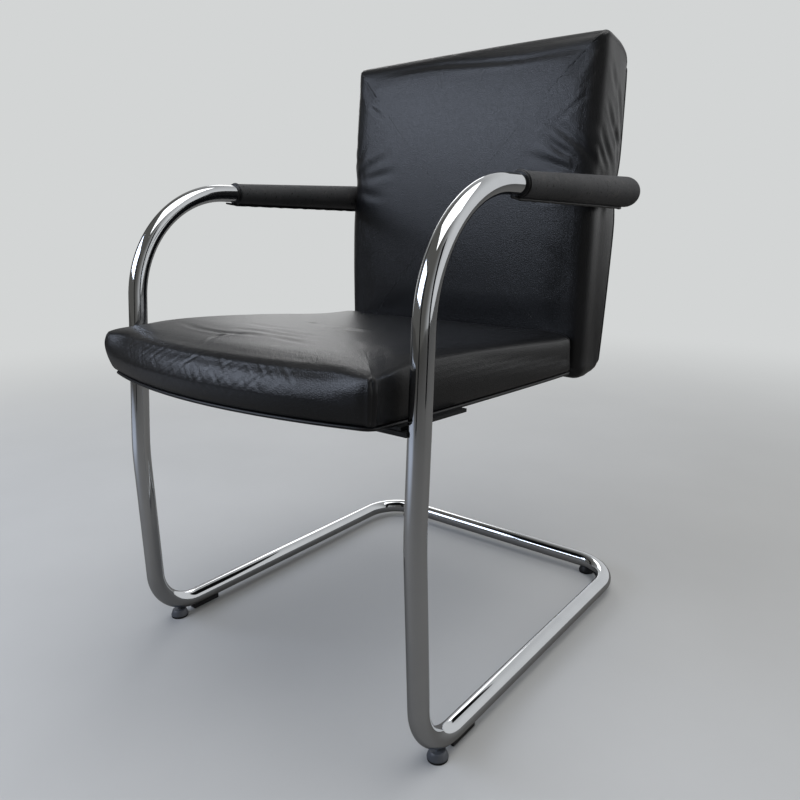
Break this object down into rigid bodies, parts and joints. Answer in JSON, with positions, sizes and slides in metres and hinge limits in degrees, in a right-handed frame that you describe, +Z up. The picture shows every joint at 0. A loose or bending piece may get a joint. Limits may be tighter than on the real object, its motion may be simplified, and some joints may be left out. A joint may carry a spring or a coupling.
{
  "type": "chair",
  "caption": "Cantilever armchair: bent chromed tube frame with arms, upholstered black leather seat and back with piping, and leather sleeves on the arms.",
  "frame": {"origin": "on the floor, under the middle of the chair's bounding box", "axes": "+Z up, the sitter faces -Y; left and right in the nodes' names are as seen from the front, so _right lies at +X, on the sitter's left"},
  "size_m": [0.5475, 0.665, 0.8703],
  "materials": {
    "chrome_tube": "polished",
    "leather": "grained, semi-matt",
    "black_steel": "semi-matt black",
    "zinc_steel": "zinc plated",
    "plywood": "raw",
    "under_fabric": "non-woven",
    "foam": "open-cell foam",
    "glide_plastic": "moulded",
    "black_plastic": "moulded",
    "sole_rubber": "matt"
  },
  "bodies": {
    "root": {"tube_frame": "chrome_tube", "seat_beam": "black_steel", "seat_bracket_left": "black_steel", "seat_bracket_right": "black_steel", "seat_screws": "zinc_steel", "seat_board": "plywood", "seat_undercover": "under_fabric", "seat_cushion": "leather", "seat_piping": "leather", "back_board": "plywood", "back_panel": "leather", "back_cushion": "leather", "back_piping": "leather", "back_strap_left": "black_steel", "back_strap_right": "black_steel", "strap_screws": "zinc_steel", "back_lug_left": "black_steel", "back_lug_right": "black_steel", "lug_screws": "zinc_steel", "arm_bolt_left": "zinc_steel", "arm_bolt_right": "zinc_steel", "arm_insert_left": "zinc_steel", "arm_insert_right": "zinc_steel", "arm_plug_left": "black_plastic", "arm_plug_right": "black_plastic", "arm_pad_left": "foam", "arm_pad_right": "foam", "arm_cover_left": "leather", "arm_cover_right": "leather", "arm_lip_left": "leather", "arm_lip_right": "leather", "arm_seam_left": "leather", "arm_seam_right": "leather", "front_glide_left": "glide_plastic", "front_glide_right": "glide_plastic", "rear_glide_left": "black_plastic", "rear_glide_right": "black_plastic", "glide_soles": "sole_rubber", "glide_screws": "zinc_steel", "runner_pad_left": "black_plastic", "runner_pad_right": "black_plastic"}
  },
  "joints": []
}
